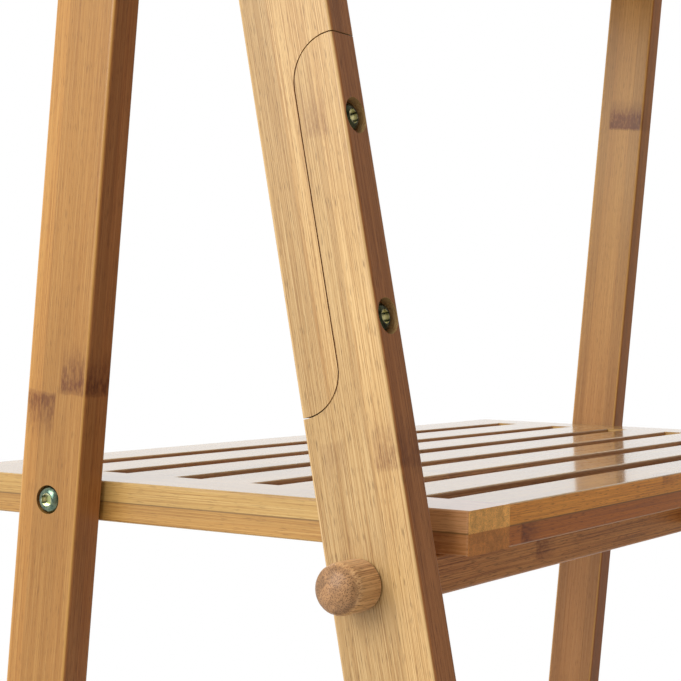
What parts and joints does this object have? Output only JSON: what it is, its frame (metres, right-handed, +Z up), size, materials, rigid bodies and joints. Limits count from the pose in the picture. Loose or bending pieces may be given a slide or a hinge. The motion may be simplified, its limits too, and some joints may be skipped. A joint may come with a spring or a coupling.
{
  "type": "ladder shelf",
  "caption": "Folding A-frame bamboo ladder shelf with slatted shelves that lift on side bolts, round hook knobs on the front legs and a round top bar.",
  "frame": {"origin": "middle of the floor area under the whole object, on the floor", "axes": "+Z up, -Y the front, X along the shelves"},
  "size_m": [0.77, 0.431, 1.2016],
  "materials": {
    "bamboo_leg": "satin",
    "bamboo_rail": "satin",
    "bamboo_board": "semi-gloss",
    "bamboo_knob": "satin",
    "hardwood_dowel": "matt",
    "zinc_steel": "yellow-green passivated zinc",
    "zinc_insert": "zinc plated",
    "nylon": "natural",
    "felt": "matt"
  },
  "bodies": {
    "front_frame": {"front_leg_upper_left": "bamboo_leg", "front_leg_lower_left": "bamboo_leg", "front_leg_upper_right": "bamboo_leg", "front_leg_lower_right": "bamboo_leg", "front_rail_lower": "bamboo_rail", "hook_knobs_lower": "bamboo_knob", "front_rail_middle": "bamboo_rail", "hook_knobs_middle": "bamboo_knob", "front_rail_upper": "bamboo_rail", "hook_knobs_upper": "bamboo_knob", "rail_dowels": "hardwood_dowel", "rail_inserts": "zinc_insert", "knob_studs": "zinc_steel", "lap_bolts": "zinc_steel", "lap_inserts": "zinc_insert", "pivot_bushes": "nylon", "front_foot_pads": "felt"},
    "rear_frame": {"rear_leg_left": "bamboo_leg", "rear_leg_right": "bamboo_leg", "rear_foot_pads": "felt", "top_bar": "bamboo_rail", "pivot_bolts": "zinc_steel", "pivot_inserts": "zinc_insert", "spacer_washers": "nylon"},
    "lower_shelf": {"lower_shelf_batten_left": "bamboo_board", "lower_shelf_batten_right": "bamboo_board", "lower_shelf_slat_1": "bamboo_board", "lower_shelf_slat_2": "bamboo_board", "lower_shelf_slat_3": "bamboo_board", "lower_shelf_slat_4": "bamboo_board", "lower_shelf_slat_5": "bamboo_board", "lower_shelf_slat_6": "bamboo_board", "lower_shelf_slat_7": "bamboo_board", "lower_shelf_slat_8": "bamboo_board", "lower_shelf_slat_9": "bamboo_board", "lower_shelf_bolts": "zinc_steel", "lower_shelf_inserts": "zinc_insert"},
    "middle_shelf": {"middle_shelf_batten_left": "bamboo_board", "middle_shelf_batten_right": "bamboo_board", "middle_shelf_slat_1": "bamboo_board", "middle_shelf_slat_2": "bamboo_board", "middle_shelf_slat_3": "bamboo_board", "middle_shelf_slat_4": "bamboo_board", "middle_shelf_slat_5": "bamboo_board", "middle_shelf_slat_6": "bamboo_board", "middle_shelf_slat_7": "bamboo_board", "middle_shelf_bolts": "zinc_steel", "middle_shelf_inserts": "zinc_insert", "middle_shelf_stop_block": "bamboo_board"},
    "upper_shelf": {"upper_shelf_batten_left": "bamboo_board", "upper_shelf_batten_right": "bamboo_board", "upper_shelf_slat_1": "bamboo_board", "upper_shelf_slat_2": "bamboo_board", "upper_shelf_slat_3": "bamboo_board", "upper_shelf_slat_4": "bamboo_board", "upper_shelf_slat_5": "bamboo_board", "upper_shelf_bolts": "zinc_steel", "upper_shelf_inserts": "zinc_insert"}
  },
  "joints": [
    {"name": "frame_fold", "type": "hinge", "parent": "front_frame", "child": "rear_frame", "pos_m": [0, 0.05157, 1.179], "axis": [-1, 0, 0], "range_deg": [0, 9]},
    {"name": "lower_shelf_lift", "type": "hinge", "parent": "rear_frame", "child": "lower_shelf", "pos_m": [0, 0.13488, 0.111], "axis": [-1, 0, 0], "range_deg": [0, 78]},
    {"name": "middle_shelf_lift", "type": "hinge", "parent": "rear_frame", "child": "middle_shelf", "pos_m": [0, 0.10485, 0.496], "axis": [-1, 0, 0], "range_deg": [0, 85]},
    {"name": "upper_shelf_lift", "type": "hinge", "parent": "rear_frame", "child": "upper_shelf", "pos_m": [0, 0.07482, 0.881], "axis": [-1, 0, 0], "range_deg": [0, 85]}
  ]
}
